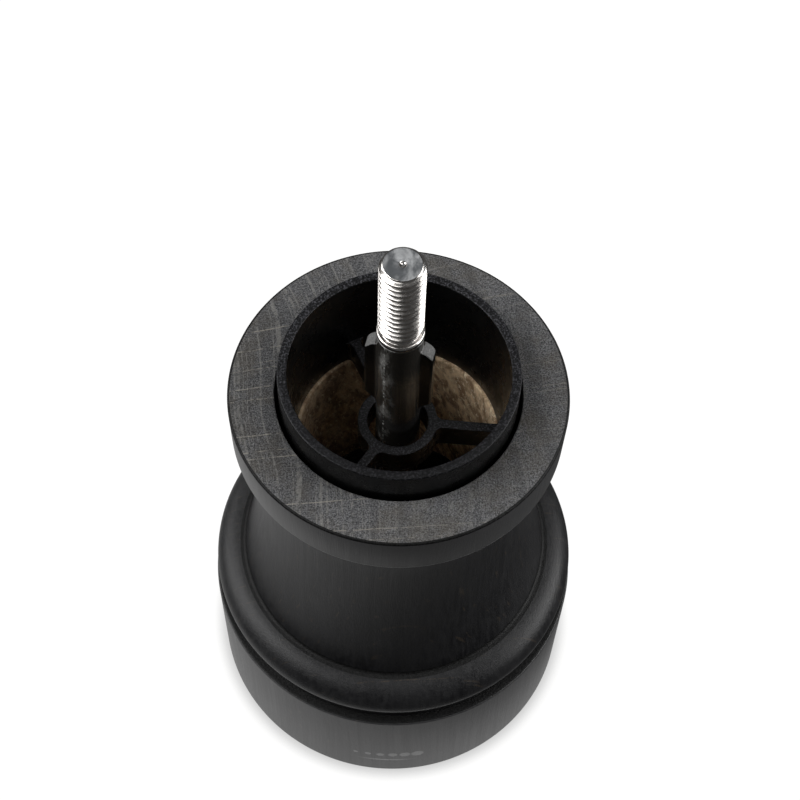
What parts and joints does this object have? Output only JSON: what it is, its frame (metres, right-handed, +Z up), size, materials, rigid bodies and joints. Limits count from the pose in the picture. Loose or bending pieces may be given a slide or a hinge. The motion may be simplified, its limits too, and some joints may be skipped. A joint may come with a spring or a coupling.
{
  "type": "pepper mill",
  "caption": "Turned wooden pepper mill body with its head off: spigot collar, threaded drive shaft, conical burrs, and a base band that sets the grind.",
  "frame": {"origin": "centre of the base band's resting face", "axes": "+Z up along the mill's axis, +X to the right of the view that shows the stud nearest"},
  "size_m": [0.0568, 0.0568, 0.1041],
  "materials": {
    "stained_wood": "charcoal stained beech, satin",
    "band_wood": "charcoal stained beech, smooth satin",
    "collar_plastic": "fine moulded texture",
    "housing_plastic": "moulded",
    "shaft_plastic": "moulded, half gloss",
    "stainless": "bright turned",
    "burr_steel": "hardened, oil black",
    "zinc_steel": "zinc plated",
    "spring_steel": "spring steel",
    "bronze": "sintered bronze",
    "nylon": "natural nylon"
  },
  "bodies": {
    "body": {"wood_body": "stained_wood", "filler_collar": "collar_plastic", "mechanism_housing": "housing_plastic", "housing_screws": "zinc_steel", "ring_burr": "burr_steel", "burr_circlip": "spring_steel", "cam_clip_ring": "spring_steel", "spring_bar": "zinc_steel", "burr_spring": "spring_steel"},
    "adjuster": {"base_band": "band_wood", "cam_ring": "housing_plastic", "band_screws": "zinc_steel", "detent_ball": "stainless", "detent_spring": "spring_steel"},
    "bridge": {"bearing_bridge": "housing_plastic", "bearing_bush": "bronze", "follower_pins": "stainless", "spring_seat": "nylon"},
    "shaft": {"drive_shaft": "shaft_plastic", "wing_sleeve": "shaft_plastic", "threaded_stud": "stainless", "cone_burr": "burr_steel", "thrust_washer": "zinc_steel", "end_washer": "zinc_steel", "end_screw": "zinc_steel"}
  },
  "joints": [
    {"name": "grind_setting", "type": "hinge", "parent": "body", "child": "adjuster", "pos_m": [0, 0, 0.01], "axis": [0, 0, 1], "range_deg": [0, 100]},
    {"name": "bridge_drop", "type": "slide", "parent": "body", "child": "bridge", "axis": [0, 0, 1], "range_m": [-0.0012, 0], "deforming": ["burr_spring"]},
    {"name": "shaft_spin", "type": "hinge", "parent": "bridge", "child": "shaft", "pos_m": [0, 0, 0.01], "axis": [0, 0, 1], "continuous": true}
  ],
  "couplings": [
    {"joint": "bridge_drop", "follows": "grind_setting", "m_per_rad": -0.00068755}
  ]
}
